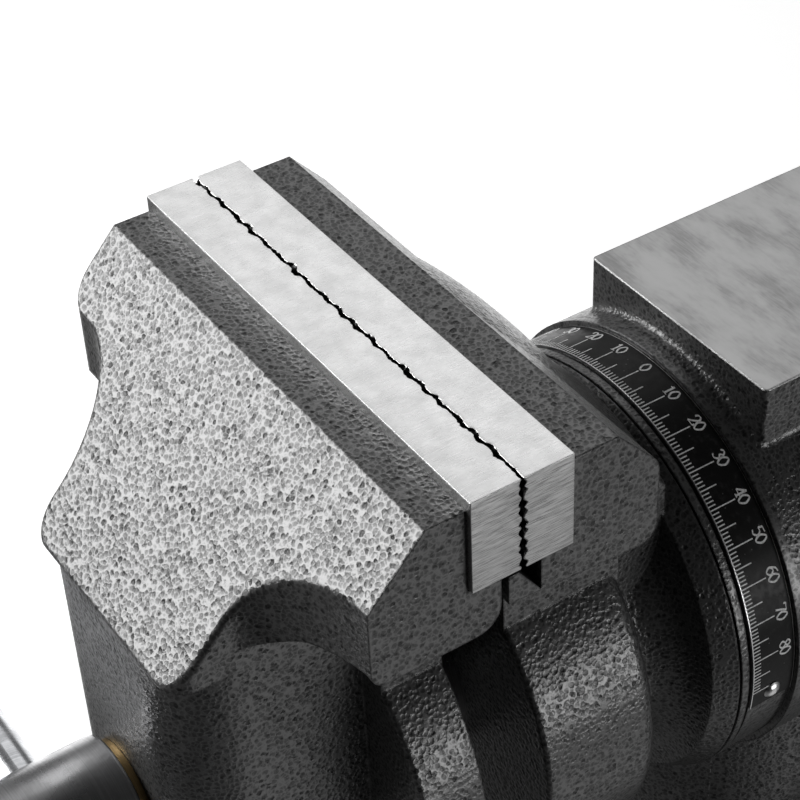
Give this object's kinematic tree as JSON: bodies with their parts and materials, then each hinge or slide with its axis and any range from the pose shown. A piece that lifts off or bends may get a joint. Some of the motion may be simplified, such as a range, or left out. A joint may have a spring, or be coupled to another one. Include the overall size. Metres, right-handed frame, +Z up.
{
  "type": "swivel bench vise",
  "caption": "Swivel bench vise: a rotating head with serrated jaw inserts and pipe jaws, a sliding front jaw on a screw, a degree dial, an anvil and a lockable swivel base.",
  "frame": {"origin": "centre of the four base bolts, on the base's underside and on the swivel axis", "axes": "+X along the jaws to the right as the user faces the vise, +Y from the user to the rear, +Z up"},
  "size_m": [0.3, 0.3922, 0.3315],
  "materials": {
    "casting_enamel": "grey hammered enamel over cast iron",
    "ground_steel": "ground, with a toothed gripping face",
    "hard_steel": "hardened and left dark",
    "dial_black": "black, with white degree marks",
    "rivet_aluminium": "bright",
    "bearing_bronze": "turned",
    "knob_plastic": "moulded",
    "plated_steel": "zinc plated, satin",
    "fastener_steel": "blackened",
    "machined_steel": "turned and milled"
  },
  "bodies": {
    "base": {"base": "casting_enamel"},
    "body": {"body_casting": "casting_enamel", "dial_band": "dial_black", "dial_rivets": "rivet_aluminium", "rear_cap": "casting_enamel", "rear_cap_screws": "fastener_steel", "swivel_t_bolts": "fastener_steel", "swivel_lock_washers": "machined_steel", "head_lock_shoe": "bearing_bronze"},
    "swivel_lock_left": {"swivel_lock_nut_left": "machined_steel", "swivel_lock_bar_left": "machined_steel", "swivel_lock_knob_left": "knob_plastic"},
    "swivel_lock_right": {"swivel_lock_nut_right": "machined_steel", "swivel_lock_bar_right": "machined_steel", "swivel_lock_knob_right": "knob_plastic"},
    "head_lock": {"head_lock_screw": "machined_steel", "head_lock_bar": "machined_steel", "head_lock_knob": "knob_plastic"},
    "head": {"head_casting": "casting_enamel", "rear_jaw_insert": "ground_steel", "rear_insert_screws": "fastener_steel", "retaining_ring": "machined_steel", "retaining_ring_bolts": "fastener_steel", "screw_nut": "bearing_bronze", "screw_nut_bolts": "fastener_steel", "rear_pipe_jaw": "hard_steel", "rear_pipe_jaw_screws": "fastener_steel"},
    "slide": {"front_jaw_casting": "casting_enamel", "front_jaw_insert": "ground_steel", "front_insert_screws": "fastener_steel", "slide_tube": "machined_steel", "slide_tube_pins": "fastener_steel", "front_pipe_jaw": "hard_steel", "front_pipe_jaw_screws": "fastener_steel", "thrust_washer": "bearing_bronze"},
    "screw": {"lead_screw": "machined_steel", "retaining_collar": "machined_steel", "retaining_collar_pin": "fastener_steel"},
    "handle": {"handle_bar": "plated_steel", "handle_knob_left": "plated_steel", "handle_knob_right": "plated_steel"}
  },
  "joints": [
    {"name": "swivel", "type": "hinge", "parent": "base", "child": "body", "pos_m": [0, 0, 0], "axis": [0, 0, 1], "continuous": true},
    {"name": "head_turn", "type": "hinge", "parent": "body", "child": "head", "pos_m": [0, 0, 0.19], "axis": [0, 1, 0], "continuous": true},
    {"name": "jaw_slide", "type": "slide", "parent": "head", "child": "slide", "axis": [0, -1, 0], "range_m": [0, 0.155]},
    {"name": "screw_turn", "type": "hinge", "parent": "slide", "child": "screw", "pos_m": [0, -0.26, 0.19], "axis": [0, -1, 0], "range_deg": [0, 9299]},
    {"name": "handle_slide", "type": "slide", "parent": "screw", "child": "handle", "axis": [1, 0, 0], "range_m": [-0.1, 0.1]},
    {"name": "swivel_lock_left", "type": "hinge", "parent": "body", "child": "swivel_lock_left", "pos_m": [-0.074, 0, 0.05], "axis": [0, 0, 1], "range_deg": [-40, 70]},
    {"name": "swivel_lock_right", "type": "hinge", "parent": "body", "child": "swivel_lock_right", "pos_m": [0.074, 0, 0.05], "axis": [0, 0, 1], "range_deg": [-70, 40]},
    {"name": "head_lock", "type": "hinge", "parent": "body", "child": "head_lock", "pos_m": [-0.1, 0.045, 0.19], "axis": [1, 0, 0], "range_deg": [-70, 70]}
  ],
  "couplings": [
    {"joint": "jaw_slide", "follows": "screw_turn", "m_per_rad": 0.00095493}
  ]
}
